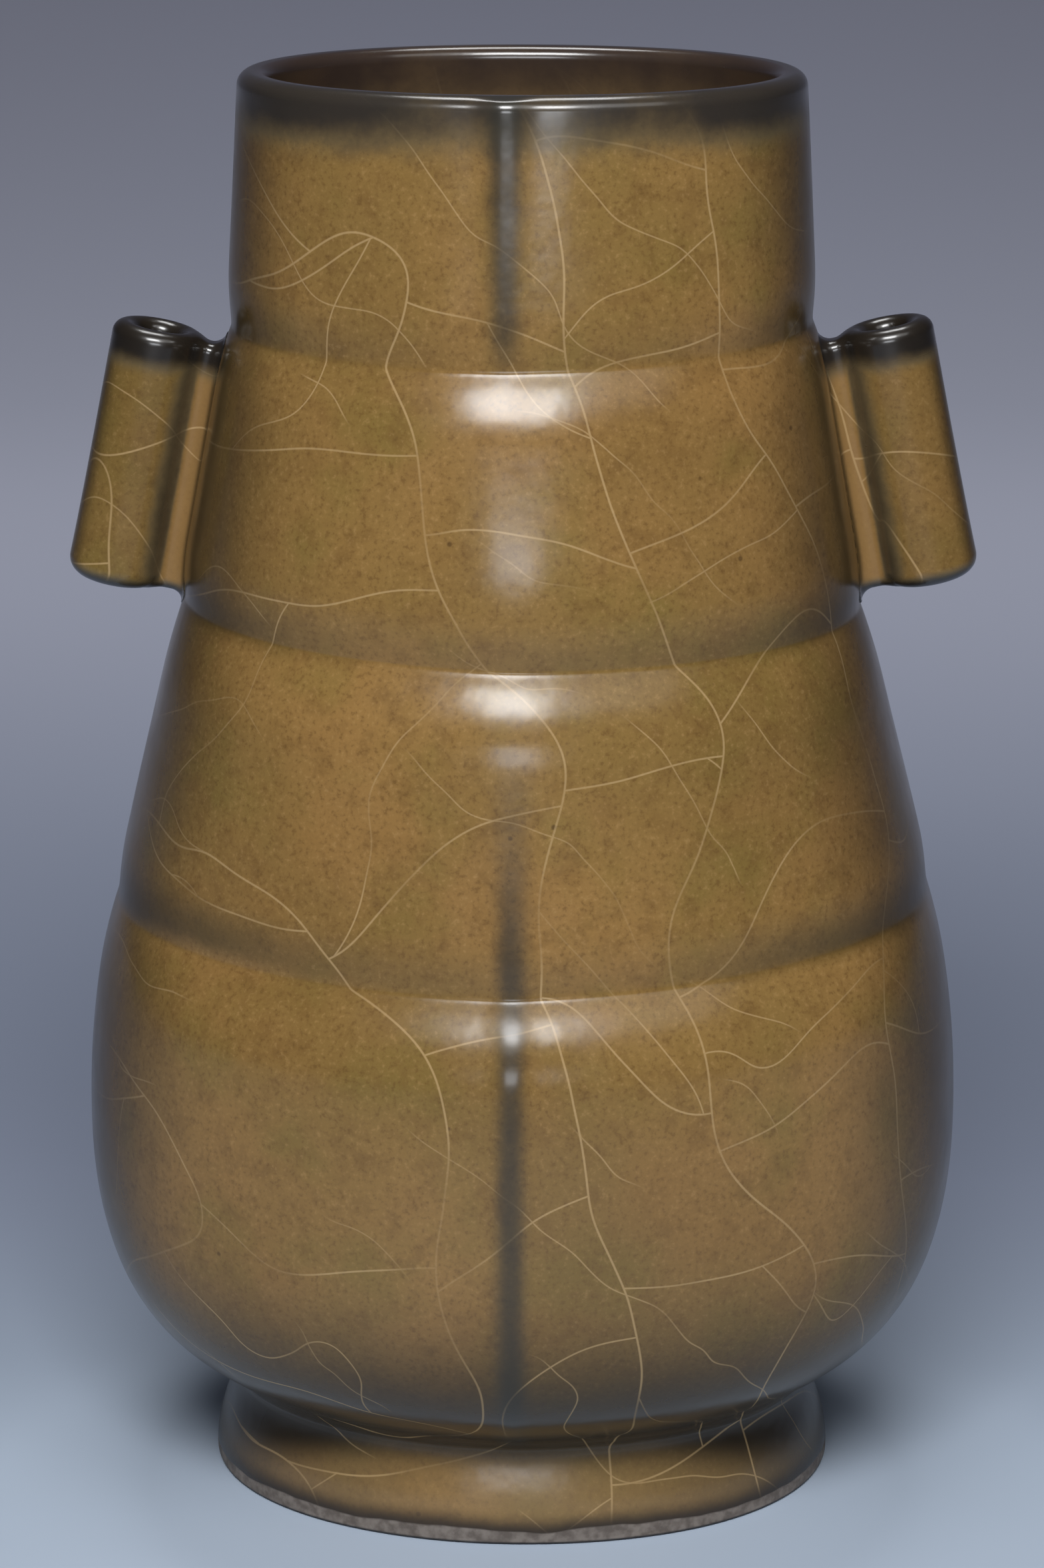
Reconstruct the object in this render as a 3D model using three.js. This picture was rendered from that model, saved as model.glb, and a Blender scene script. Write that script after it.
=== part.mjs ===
// Hu vase: an oval stoneware vase with a straight neck, a pear body in stepped registers,
// two tubular lugs at the shoulder and a low splayed foot.
// Millimetres, +Z up, front towards -Y. The origin is on the resting plane, under the middle.
//
// The potter's pieces are separate solids: four wall sections stacked on level, slipped
// joints that lie hidden in the grooves of the bands, a floor disc let into the foot ring,
// a rolled tube and a web for each lug, and the clay ribs laid down the front and the back.

import * as THREE from 'three';
import { mergeVertices } from 'three/addons/utils/BufferGeometryUtils.js';

// Heights of the stacked sections.
const footHeight = 13.2;
const bellyHeight = 64.3;
const waistHeight = 37.2;
const shoulderHeight = 34.6;
const neckHeight = 30.7;

// Widths (side to side) and depths (front to back) of the outside, on the smooth line.
const mouthWidth = 69.2;
const mouthDepth = 53.2;
const neckBaseWidth = 72.8;
const neckBaseDepth = 60.4;
const shoulderBaseWidth = 85.8;
const shoulderBaseDepth = 75.0;
const waistBaseWidth = 104.2;
const waistBaseDepth = 89.2;
const bellyWidth = 111.2;
const bellyDepth = 94.0;
const bellyBaseWidth = 74.6;
const bellyBaseDepth = 58.6;
const footWidth = 80.3;
const footDepth = 63.4;

// The belly's outline: where it is widest, and how full it is above and below.
const widestAboveFoot = 35.8;
const lowerBellyFullness = 20;
const upperBellyFullness = 10;
const heelRise = 6.2;
const heelSpread = 9;
const heelSoftness = 2.2;
const bandSpread = 2;
const bandApproach = 8.8;

// Steps of the bands, from the lowest band up. The section above a band is set back from the
// crown of the one below, more at the front than at the sides, and ends in a shallow cove.
const sideSteps = [0.6, 0.6, 0.6];
const frontSteps = [2.6, 2.3, 1.8];
const coveDepth = 0.6;
const coveHeight = 6.6;
const crownHeight = 8;

// The soft keel that runs down the middle of the front and the back.
const keelAtNeck = 0.2;
const keelAtBands = 1.2;
const keelAtFoot = 0.5;
const keelSpread = 12;
const keelRounding = 2;

// Walls, measured level from the outer line.
const lipWall = 3.9;
const lipOuterRadius = 1.7;
const lipInnerRadius = 1.7;
const neckWall = 4.1;
const shoulderWall = 4.6;
const waistWall = 5.0;
const bellyWall = 5.2;
const bellyBaseWall = 5.4;

// Foot ring and floor disc.
const footBareHeight = 1.2;
const footEdgeChamfer = 0.6;
const footRingWidth = 5.2;
const footInnerTaper = 1.6;
const footFlareHeight = 6.6;
const footWaistHeight = 10;
const ledgeDepth = 3;
const ledgeThickness = 2;
const ledgeWidth = 2.6;
const floorThickness = 5;

// Lugs: a rolled tube with a bore, stood off the shoulder by a web.
const lugDiameter = 11.4;
const lugFlare = 0.35;
const lugBore = 5.2;
const lugLength = 32.7;
const lugStandOff = 2.2;
const lugSplay = 0.8;
const lugTopBelowBand = 0.4;
const lugUnevenness = 0.4;
const lugTopRounding = 2;
const lugBottomRounding = 2.4;
const lugBoreRounding = 0.8;
const webThickness = 4.2;
const webFlareAtBody = 2;
const webFlareAtTube = 0.9;
const webTopInset = 1;
const webBottomInset = 0.8;

// Ribs down the front and the back.
const neckRibWidth = 3.6;
const neckRibHeight = 0.9;
const neckRibOffset = 1.2;
const neckRibTopInset = 0.8;
const neckRibBottomInset = 2;
const waistRibWidth = 2.8;
const waistRibHeight = 0.7;
const waistRibLength = 21;
const waistRibBottomInset = 1;
const bellyRibWidth = 2.6;
const bellyRibHeight = 0.8;
const bellyRibTopInset = 5;
const bellyRibBottomInset = 2.5;
const ribEndThickness = 0.35;

// The layer of slip between luted pieces, where they aren't level face to face.
const slipGap = 0.3;

// Facets.
const segmentsAround = 60;
const tubeSegments = 24;
const tubeEdgeRows = 3;
const boreEdgeRows = 2;
const heelRows = 4;
const heelSamples = 5;
const stepRows = 4;
const lipRows = 3;
const bellyRows = 12;
const lowerBellyShare = 0.6;
const footRows = 6;
const webRows = 7;
const ribRows = 14;

// Levels of the joints, from the resting plane up.
const jointAtFoot = footHeight;
const jointAtWaist = jointAtFoot + bellyHeight;
const jointAtShoulder = jointAtWaist + waistHeight;
const jointAtNeck = jointAtShoulder + shoulderHeight;
const rimLevel = jointAtNeck + neckHeight;
const bands = [
  { level: jointAtWaist, sectionTop: jointAtShoulder },
  { level: jointAtShoulder, sectionTop: jointAtNeck },
  { level: jointAtNeck, sectionTop: rimLevel },
];

// The two outlines: seen from the front (half-widths) and seen from the side (half-depths).
const widths = {
  mouth: mouthWidth / 2,
  neckBase: neckBaseWidth / 2,
  shoulderBase: shoulderBaseWidth / 2,
  waistBase: waistBaseWidth / 2,
  belly: bellyWidth / 2,
  bellyBase: bellyBaseWidth / 2,
  foot: footWidth / 2,
  steps: sideSteps,
};
const depths = {
  mouth: mouthDepth / 2,
  neckBase: neckBaseDepth / 2,
  shoulderBase: shoulderBaseDepth / 2,
  waistBase: waistBaseDepth / 2,
  belly: bellyDepth / 2,
  bellyBase: bellyBaseDepth / 2,
  foot: footDepth / 2,
  steps: frontSteps,
};

const { lerp, mapLinear, clamp, degToRad } = THREE.MathUtils;

// A list of numbers from first to last.
function spread(first, last, steps) {
  return Array.from({ length: steps + 1 }, (_, i) => lerp(first, last, i / steps));
}

// The belly's outline is two curves that meet at its widest level.
function bellyCurves(half) {
  const widest = jointAtFoot + widestAboveFoot;
  const lower = new THREE.CubicBezierCurve(
    new THREE.Vector2(half.bellyBase, jointAtFoot),
    new THREE.Vector2(half.bellyBase + heelSpread, jointAtFoot + heelRise),
    new THREE.Vector2(half.belly, widest - lowerBellyFullness),
    new THREE.Vector2(half.belly, widest),
  );
  const upper = new THREE.CubicBezierCurve(
    new THREE.Vector2(half.belly, widest),
    new THREE.Vector2(half.belly, widest + upperBellyFullness),
    new THREE.Vector2(half.waistBase + bandSpread, jointAtWaist - bandApproach),
    new THREE.Vector2(half.waistBase, jointAtWaist),
  );
  return { lower, upper, widest };
}
widths.curves = bellyCurves(widths);
depths.curves = bellyCurves(depths);

// The foot flares from its waist under the belly to its upright lower edge.
function footCurve(half) {
  return new THREE.CubicBezierCurve(
    new THREE.Vector2(half.foot, footBareHeight),
    new THREE.Vector2(half.foot, footFlareHeight),
    new THREE.Vector2(half.bellyBase, footWaistHeight),
    new THREE.Vector2(half.bellyBase, jointAtFoot),
  );
}
widths.footCurve = footCurve(widths);
depths.footCurve = footCurve(depths);

// The half-size of a rising curve at a level, found by halving the interval.
function halfOnCurve(curve, z) {
  let low = 0;
  let high = 1;
  for (let i = 0; i < 40; i += 1) {
    const middle = (low + high) / 2;
    if (curve.getPoint(middle).y < z) {
      low = middle;
    } else {
      high = middle;
    }
  }
  return curve.getPoint(low).x;
}

// The smooth line of a view at a level, through the crowns of the bands.
function smoothHalf(half, z) {
  if (z >= jointAtNeck) {
    return mapLinear(z, jointAtNeck, rimLevel, half.neckBase, half.mouth);
  }
  if (z >= jointAtShoulder) {
    return mapLinear(z, jointAtShoulder, jointAtNeck, half.shoulderBase, half.neckBase);
  }
  if (z >= jointAtWaist) {
    return mapLinear(z, jointAtWaist, jointAtShoulder, half.waistBase, half.shoulderBase);
  }
  if (z >= jointAtFoot) {
    const { lower, upper, widest } = half.curves;
    return halfOnCurve(z > widest ? upper : lower, z);
  }
  return halfOnCurve(half.footCurve, z);
}

// The same line, averaged over nearby levels where the belly runs into the foot in a soft hollow.
function softHalf(half, z) {
  const reach = Math.max(0, heelSoftness - Math.abs(z - jointAtFoot) / 2);
  const nearby = spread(-reach, reach, heelSamples - 1).map((shift) => smoothHalf(half, z + shift));
  return nearby.reduce((sum, value) => sum + value, 0) / nearby.length;
}

// How far the outside stands back from the smooth line. A section's foot is set back from the
// crown below it and closes up to the line at its top. A cove deepens the groove of the band.
function stepCut(half, z) {
  let cut = 0;
  bands.forEach(({ level, sectionTop }, band) => {
    const step = half.steps[band];
    if (z < level) {
      cut += step * Math.max(0, 1 - (level - z) / crownHeight) ** 2;
    } else if (z < sectionTop) {
      cut += mapLinear(z, level, sectionTop, step - coveDepth, 0);
      cut += coveDepth * Math.max(0, 1 - (z - level) / coveHeight) ** 2;
    }
  });
  return cut;
}

// The outside at a level, with the steps and the rounded lip.
function outerHalf(half, z) {
  const aboveLip = Math.max(0, z - (rimLevel - lipOuterRadius));
  const lipCut = lipOuterRadius - Math.sqrt(Math.max(0, lipOuterRadius ** 2 - aboveLip ** 2));
  return softHalf(half, z) - stepCut(half, z) - lipCut;
}

// The wall's thickness at a level.
function wallAt(z) {
  if (z >= jointAtNeck) {
    return mapLinear(z, jointAtNeck, rimLevel, neckWall, lipWall);
  }
  if (z >= jointAtShoulder) {
    return mapLinear(z, jointAtShoulder, jointAtNeck, shoulderWall, neckWall);
  }
  if (z >= jointAtWaist) {
    return mapLinear(z, jointAtWaist, jointAtShoulder, waistWall, shoulderWall);
  }
  const widest = jointAtFoot + widestAboveFoot;
  if (z >= widest) {
    return mapLinear(z, widest, jointAtWaist, bellyWall, waistWall);
  }
  return mapLinear(z, jointAtFoot, widest, bellyBaseWall, bellyWall);
}

function innerHalf(half, z) {
  return smoothHalf(half, z) - wallAt(z);
}

// The keel's height at a level. It swells down the shoulder from next to nothing at the neck.
function keelAt(z) {
  if (z >= jointAtNeck) {
    return keelAtNeck;
  }
  if (z >= jointAtShoulder) {
    const climb = (z - jointAtShoulder) / shoulderHeight;
    return lerp(keelAtBands, keelAtNeck, climb ** 2);
  }
  if (z >= jointAtWaist) {
    return keelAtBands;
  }
  return mapLinear(z, jointAtFoot, jointAtWaist, keelAtFoot, keelAtBands);
}

// A row is one level of a section: its half-width, half-depth and keel.
function outerRow(z) {
  return { x: outerHalf(widths, z), y: outerHalf(depths, z), keel: keelAt(z), z };
}

function innerRow(z) {
  return { x: innerHalf(widths, z), y: innerHalf(depths, z), keel: 0, z };
}

// How much of the keel's height is left at a distance from the middle.
function keelShare(x) {
  return Math.exp(-(Math.hypot(x, keelRounding) - keelRounding) / keelSpread);
}

// A point of a row at an angle from the front.
function pointOnRow(row, angle) {
  const x = row.x * Math.sin(angle);
  const ahead = Math.cos(angle);
  // The keel fades to nothing where the section turns to the side.
  const keel = row.keel * keelShare(x) * ahead;
  return new THREE.Vector3(x, -(row.y * ahead + keel), row.z);
}

// The front surface of a row at a distance from the middle.
function frontOfRow(row, x) {
  const angle = Math.asin(clamp(x / row.x, -1, 1));
  return pointOnRow(row, angle).y;
}

function closedBody(geometry) {
  geometry.deleteAttribute('normal');
  geometry.deleteAttribute('uv');
  const merged = mergeVertices(geometry, 1e-5);
  merged.computeVertexNormals();
  return merged;
}

// A revolved ring whose round section is pressed to the oval of each row.
function pressedRevolve(rows) {
  const profile = rows.map((row) => new THREE.Vector2(row.x, row.z));
  const geometry = new THREE.LatheGeometry(profile, segmentsAround);
  const position = geometry.getAttribute('position');
  for (let column = 0; column <= segmentsAround; column += 1) {
    const angle = ((column % segmentsAround) / segmentsAround) * Math.PI * 2;
    rows.forEach((row, index) => {
      const point = pointOnRow(row, angle);
      position.setXYZ(column * rows.length + index, point.x, point.y, point.z);
    });
  }
  return closedBody(geometry);
}

// A solid through rings of points, counter-clockwise seen from above, lowest ring first.
function loft(rings) {
  const count = rings[0].length;
  const index = [];
  for (let level = 0; level < rings.length - 1; level += 1) {
    for (let i = 0; i < count; i += 1) {
      const next = (i + 1) % count;
      const low = level * count;
      const high = low + count;
      index.push(low + i, low + next, high + next);
      index.push(low + i, high + next, high + i);
    }
  }
  const caps = [
    { ring: rings[0], base: 0, up: false },
    { ring: rings[rings.length - 1], base: (rings.length - 1) * count, up: true },
  ];
  for (const { ring, base, up } of caps) {
    const outline = ring.map((point) => new THREE.Vector2(point.x, point.y));
    for (const [a, b, c] of THREE.ShapeUtils.triangulateShape(outline, [])) {
      index.push(base + a, base + (up ? b : c), base + (up ? c : b));
    }
  }
  const geometry = new THREE.BufferGeometry();
  geometry.setFromPoints(rings.flat());
  geometry.setIndex(index);
  geometry.computeVertexNormals();
  return geometry;
}

// Levels of a wall section between two joints, closer together in the cove and the crown.
function sectionLevels(bottom, top, { cove, crown }) {
  const levels = cove ? spread(bottom, bottom + coveHeight, stepRows) : [bottom];
  if (crown) {
    levels.push(...spread(top - crownHeight, top, stepRows));
  } else {
    levels.push(top);
  }
  return levels;
}

// A wall section: up the outside and down the inside, with level joint faces.
function wallSection(outerLevels, innerLevels) {
  const outside = outerLevels.map(outerRow);
  const inside = innerLevels.map(innerRow);
  return pressedRevolve([...outside, ...inside, outside[0]]);
}

// Neck: its rim is rounded outside and inside, and its foot comes down in a cove.
function neckGeometry() {
  const lipStart = rimLevel - lipOuterRadius;
  const outerLevels = spread(jointAtNeck, jointAtNeck + coveHeight, stepRows);
  for (const turn of spread(0, Math.PI / 2, lipRows)) {
    outerLevels.push(lipStart + lipOuterRadius * Math.sin(turn));
  }
  const outside = outerLevels.map(outerRow);
  const inside = spread(Math.PI / 2, 0, lipRows).slice(1).map((turn) => {
    const z = rimLevel - lipInnerRadius * (1 - Math.sin(turn));
    const row = innerRow(z);
    const back = lipInnerRadius * (1 - Math.cos(turn));
    return { ...row, x: row.x + back, y: row.y + back };
  });
  inside.push(innerRow(jointAtNeck));
  return pressedRevolve([...outside, ...inside, outside[0]]);
}

function shoulderGeometry() {
  const levels = sectionLevels(jointAtShoulder, jointAtNeck, { cove: true, crown: true });
  return wallSection(levels, [jointAtNeck, jointAtShoulder]);
}

function waistGeometry() {
  const levels = sectionLevels(jointAtWaist, jointAtShoulder, { cove: true, crown: true });
  return wallSection(levels, [jointAtShoulder, jointAtWaist]);
}

// Belly levels follow its curve, so that they lie closer where it turns fastest.
function bellyLevels(rows, top) {
  const { lower, upper } = widths.curves;
  const share = Math.round(rows * lowerBellyShare);
  const levels = spread(0, 1, share).map((t) => lower.getPoint(t).y);
  const above = spread(0, 1, rows - share).map((t) => upper.getPoint(t).y);
  return levels.concat(above.slice(1)).filter((z) => z < top);
}

function bellyGeometry() {
  const crownLevels = spread(jointAtWaist - crownHeight, jointAtWaist, stepRows);
  const heelLevels = spread(jointAtFoot, jointAtFoot + 2 * heelSoftness, heelRows);
  const bodyLevels = bellyLevels(bellyRows, jointAtWaist - crownHeight - 1)
    .filter((z) => z > jointAtFoot + 2 * heelSoftness + 1);
  const outerLevels = [...heelLevels, ...bodyLevels, ...crownLevels];
  const innerLevels = bellyLevels(Math.round(bellyRows / 2), jointAtWaist - 1);
  innerLevels.push(jointAtWaist);
  return wallSection(outerLevels, innerLevels.reverse());
}

// Foot ring: it splays to the ground, and its inner ledge carries the floor disc.
function footRingGeometry() {
  const outside = spread(0, 1, footRows).map((t) => {
    const z = widths.footCurve.getPoint(t).y;
    return { x: outerHalf(widths, z), y: outerHalf(depths, z), keel: keelAtFoot * t, z };
  });
  const fromEdge = (inset, z) => ({
    x: widths.foot - inset,
    y: depths.foot - inset,
    keel: 0,
    z,
  });
  const fromSeat = (inset, z) => ({
    x: widths.bellyBase - bellyBaseWall - inset,
    y: depths.bellyBase - bellyBaseWall - inset,
    keel: 0,
    z,
  });
  const ledgeTop = footHeight - ledgeDepth;
  const ledgeUnderside = ledgeTop - ledgeThickness;
  const rows = [
    fromEdge(footRingWidth, 0),
    fromEdge(footEdgeChamfer, 0),
    ...outside,
    fromSeat(0, footHeight),
    fromSeat(0, ledgeTop),
    fromSeat(ledgeWidth, ledgeTop),
    fromSeat(ledgeWidth, ledgeUnderside),
    fromEdge(footRingWidth + footInnerTaper, ledgeUnderside),
    fromEdge(footRingWidth, 0),
  ];
  return pressedRevolve(rows);
}

// Floor disc: it drops onto the ledge, and its bevelled edge follows the belly's inside.
function floorDiscGeometry() {
  const bottom = footHeight - ledgeDepth;
  const top = bottom + floorThickness;
  const pole = (z) => ({ x: 0, y: 0, keel: 0, z });
  const edge = (z) => {
    const seat = innerRow(Math.max(z, jointAtFoot));
    return { x: seat.x - slipGap, y: seat.y - slipGap, keel: 0, z };
  };
  return pressedRevolve([pole(bottom), edge(bottom), edge(jointAtFoot), edge(top), pole(top)]);
}

// Lug axes stand off the shoulder's side line and splay a little from it.
const shoulderLean = Math.atan2(widths.shoulderBase - widths.neckBase, shoulderHeight);
const lugLean = shoulderLean + degToRad(lugSplay);
const lugRadius = lugDiameter / 2;
const lugTopLevel = jointAtNeck - lugTopBelowBand;
const lugTopReach = smoothHalf(widths, lugTopLevel)
  + (lugStandOff + lugRadius) / Math.cos(shoulderLean);

// A lug's tube: rolled round a dowel, so its bore runs right through.
function lugTubeGeometry() {
  const bore = lugBore / 2;
  const bottomRadius = lugRadius + lugFlare;
  const round = (centreX, centreY, radius, from, to, steps) => spread(from, to, steps)
    .map((turn) => new THREE.Vector2(
      centreX + radius * Math.cos(turn),
      centreY + radius * Math.sin(turn),
    ));
  const quarter = Math.PI / 2;
  const profile = [
    ...round(
      bottomRadius - lugBottomRounding,
      lugBottomRounding - lugLength,
      lugBottomRounding,
      -quarter,
      0,
      tubeEdgeRows,
    ),
    ...round(
      lugRadius - lugTopRounding,
      -lugTopRounding,
      lugTopRounding,
      0,
      quarter,
      tubeEdgeRows,
    ),
    ...round(
      bore + lugBoreRounding,
      -lugBoreRounding,
      lugBoreRounding,
      quarter,
      2 * quarter,
      boreEdgeRows,
    ),
    ...round(
      bore + lugBoreRounding,
      lugBoreRounding - lugLength,
      lugBoreRounding,
      2 * quarter,
      3 * quarter,
      boreEdgeRows,
    ),
  ];
  profile.push(profile[0].clone());
  const geometry = new THREE.LatheGeometry(profile, tubeSegments);
  geometry.rotateX(Math.PI / 2);
  return closedBody(geometry);
}

// A lug's web: it fills the space between the shoulder and the tube, waisted in plan.
// Its ends lie square to the tube, so each ring of the loft slopes down to the shoulder.
function lugWebGeometry(rise) {
  const slope = Math.tan(lugLean);
  const first = lugBottomRounding / 2 + webBottomInset - lugLength;
  const atBody = webThickness / 2 + webFlareAtBody;
  const atTube = webThickness / 2 + webFlareAtTube;
  const tubeRadius = lugRadius + lugFlare + slipGap;
  const rings = spread(first, -webTopInset, webRows).map((along) => {
    const axisX = lugTopReach - along * Math.sin(lugLean);
    const axisZ = lugTopLevel + rise + along * Math.cos(lugLean);
    const onPlane = (x) => axisZ - (axisX - x) * slope;
    const bodyPoint = (y) => {
      // The shoulder narrows upwards, so the point is found by repeated steps.
      let x = axisX - tubeRadius;
      for (let step = 0; step < 8; step += 1) {
        const row = outerRow(onPlane(x));
        x = row.x * Math.sqrt(1 - (y / row.y) ** 2) + slipGap;
      }
      return new THREE.Vector3(x, y, onPlane(x));
    };
    const tubePoint = (y) => {
      const x = axisX - Math.sqrt(tubeRadius ** 2 - y ** 2) * Math.cos(lugLean);
      return new THREE.Vector3(x, y, onPlane(x));
    };
    const waistPoint = (y) => {
      const point = bodyPoint(0).lerp(tubePoint(0), 0.5);
      return point.setY(y);
    };
    return [
      ...spread(atBody, -atBody, 4).map(bodyPoint),
      waistPoint(-webThickness / 2),
      ...spread(-atTube, atTube, 4).map(tubePoint),
      waistPoint(webThickness / 2),
    ];
  });
  return loft(rings);
}

// A rib: a strip of clay that follows the wall between two levels and thins at its ends.
function ribGeometry({ bottom, top, width, bottomHeight, topHeight, offset = 0 }) {
  const across = [-1, -0.5, 0, 0.5, 1];
  const rings = spread(0, 1, ribRows).map((t) => {
    const z = lerp(bottom, top, t);
    const row = outerRow(z);
    const height = lerp(bottomHeight, topHeight, t);
    const back = (u) => frontOfRow(row, offset + (u * width) / 2) - slipGap;
    const face = across.map((u) => {
      const swell = height * (1 - u * u);
      return new THREE.Vector3(offset + (u * width) / 2, back(u) - swell, z);
    });
    const seat = across.slice(1, -1).reverse().map((u) => (
      new THREE.Vector3(offset + (u * width) / 2, back(u), z)
    ));
    return [...face, ...seat];
  });
  return loft(rings);
}

function neckRibGeometry(offset) {
  return ribGeometry({
    bottom: jointAtNeck + neckRibBottomInset,
    top: rimLevel - neckRibTopInset,
    width: neckRibWidth,
    bottomHeight: ribEndThickness,
    topHeight: neckRibHeight,
    offset,
  });
}

function waistRibGeometry() {
  const bottom = jointAtWaist + waistRibBottomInset;
  return ribGeometry({
    bottom,
    top: bottom + waistRibLength,
    width: waistRibWidth,
    bottomHeight: waistRibHeight,
    topHeight: ribEndThickness,
  });
}

function bellyRibGeometry() {
  return ribGeometry({
    bottom: jointAtFoot + bellyRibBottomInset,
    top: jointAtWaist - bellyRibTopInset,
    width: bellyRibWidth,
    bottomHeight: bellyRibHeight,
    topHeight: ribEndThickness,
  });
}

// Colours: olive-brown glaze, thinner and darker on ribs and lug edges, ochre in the webs.
const wallGlaze = 0x86693f;
const lowerGlaze = 0x7d6340;
const lugGlaze = 0x6f5836;
const webGlaze = 0x85653f;
const ribGlaze = 0x4a4238;
const footGlaze = 0x7c6546;

function glazed(color, roughness = 0.28) {
  return new THREE.MeshStandardMaterial({ color, roughness, metalness: 0 });
}

function piece(name, geometry, material) {
  const mesh = new THREE.Mesh(geometry, material);
  mesh.name = name;
  return mesh;
}

const group = new THREE.Group();
group.add(piece('neck', neckGeometry(), glazed(wallGlaze)));
group.add(piece('shoulder', shoulderGeometry(), glazed(wallGlaze)));
group.add(piece('waist', waistGeometry(), glazed(wallGlaze)));
group.add(piece('belly', bellyGeometry(), glazed(lowerGlaze)));
group.add(piece('foot_ring', footRingGeometry(), glazed(footGlaze, 0.35)));
group.add(piece('floor_disc', floorDiscGeometry(), glazed(lowerGlaze, 0.4)));

for (const side of ['right', 'left']) {
  const rise = side === 'right' ? lugUnevenness : -lugUnevenness;
  const tube = piece(`${side}_lug_tube`, lugTubeGeometry(), glazed(lugGlaze));
  tube.position.set(lugTopReach, 0, lugTopLevel + rise);
  tube.rotation.y = -lugLean;
  const lug = new THREE.Group();
  lug.add(tube);
  lug.add(piece(`${side}_lug_web`, lugWebGeometry(rise), glazed(webGlaze)));
  lug.rotation.z = side === 'right' ? 0 : Math.PI;
  group.add(lug);
}

for (const face of ['front', 'back']) {
  const offset = face === 'front' ? -neckRibOffset : 0;
  const ribs = new THREE.Group();
  ribs.add(piece(`neck_rib_${face}`, neckRibGeometry(offset), glazed(ribGlaze)));
  ribs.add(piece(`waist_rib_${face}`, waistRibGeometry(), glazed(ribGlaze)));
  ribs.add(piece(`belly_rib_${face}`, bellyRibGeometry(), glazed(ribGlaze)));
  ribs.rotation.z = face === 'front' ? 0 : Math.PI;
  group.add(ribs);
}

export default group;
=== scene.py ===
import math

import bpy
import numpy as np
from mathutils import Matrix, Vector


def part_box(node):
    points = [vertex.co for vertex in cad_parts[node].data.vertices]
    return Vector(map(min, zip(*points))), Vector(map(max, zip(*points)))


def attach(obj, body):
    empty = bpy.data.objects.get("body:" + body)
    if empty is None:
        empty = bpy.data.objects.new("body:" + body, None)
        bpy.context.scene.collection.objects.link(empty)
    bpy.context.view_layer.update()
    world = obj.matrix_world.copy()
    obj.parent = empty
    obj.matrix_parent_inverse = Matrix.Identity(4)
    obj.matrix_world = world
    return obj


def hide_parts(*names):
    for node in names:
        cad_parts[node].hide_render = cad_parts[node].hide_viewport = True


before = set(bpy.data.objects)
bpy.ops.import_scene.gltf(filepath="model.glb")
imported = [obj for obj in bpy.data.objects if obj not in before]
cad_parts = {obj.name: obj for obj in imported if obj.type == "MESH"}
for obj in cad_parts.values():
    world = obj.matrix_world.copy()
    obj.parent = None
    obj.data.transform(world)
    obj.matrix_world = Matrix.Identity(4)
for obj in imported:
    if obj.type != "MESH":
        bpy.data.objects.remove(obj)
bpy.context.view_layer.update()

# Wall of the vase, from the foot to the lip.
# Four oval sections of stoneware clay are thrown or coiled, pressed to an oval, and stacked
# on slipped joints that end up in the grooves of the bands. One glaze runs over them all.

FOOT_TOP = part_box("foot_ring")[1].z
WAIST_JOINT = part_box("belly")[1].z
SHOULDER_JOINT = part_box("waist")[1].z
NECK_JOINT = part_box("shoulder")[1].z
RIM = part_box("neck")[1].z
BANDS = [WAIST_JOINT, SHOULDER_JOINT, NECK_JOINT]
WEB_LOW, WEB_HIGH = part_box("right_lug_web")
WIDEST = FOOT_TOP + 0.0358

# The ovals: half of the width, seen from the front, and half of the depth, seen from the side.
MOUTH = (0.0346, 0.0266)
NECK_BASE = (0.0364, 0.0302)
SHOULDER_BASE = (0.0429, 0.0375)
WAIST_BASE = (0.0521, 0.0446)
BELLY = (0.0556, 0.0470)
BELLY_BASE = (0.0373, 0.0293)
FOOT = (0.04015, 0.0317)

# How the curves of the outline leave one oval and reach the next.
FLARE_START = 0.0012
FLARE_PULLS = (0.0066, 0.010)
BELLY_SPRINGS_OUT = 0.0115
BELLY_SPRINGS_UP = 0.0059
BELLY_PULLS = (0.0225, 0.010)
WAIST_LEANS_OUT = 0.002
WAIST_PULL = 0.0088


def bezier(points, count=200):
    """Points along a cubic curve."""
    t = np.linspace(0, 1, count)[:, None]
    p0, p1, p2, p3 = (np.array(p, float) for p in points)
    return (1 - t) ** 3 * p0 + 3 * (1 - t) ** 2 * t * p1 + 3 * (1 - t) * t**2 * p2 + t**3 * p3


def foot_flare(view):
    foot, base = FOOT[view], BELLY_BASE[view]
    low, high = FLARE_PULLS
    return bezier([(foot, FLARE_START), (foot, low), (base, high), (base, FOOT_TOP)], 60)


def wall_line(view):
    """The smooth outer line from the foot up, seen from the front (0) or from the side (1)."""
    base, widest, top = BELLY_BASE[view], BELLY[view], WAIST_BASE[view]
    below, above = BELLY_PULLS
    lower = bezier([
        (base, FOOT_TOP),
        (base + BELLY_SPRINGS_OUT, FOOT_TOP + BELLY_SPRINGS_UP),
        (widest, WIDEST - below),
        (widest, WIDEST),
    ])
    upper = bezier([
        (widest, WIDEST),
        (widest, WIDEST + above),
        (top + WAIST_LEANS_OUT, WAIST_JOINT - WAIST_PULL),
        (top, WAIST_JOINT),
    ])
    straight = [
        (SHOULDER_BASE[view], SHOULDER_JOINT),
        (NECK_BASE[view], NECK_JOINT),
        (MOUTH[view], RIM),
    ]
    return np.vstack([foot_flare(view), lower[1:], upper[1:], straight])


WALL_LINES = [wall_line(0), wall_line(1)]


def smooth_half(view, z):
    line = WALL_LINES[view]
    return np.interp(z, line[:, 1], line[:, 0])


HEEL_SOFTNESS = 0.0022


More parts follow.
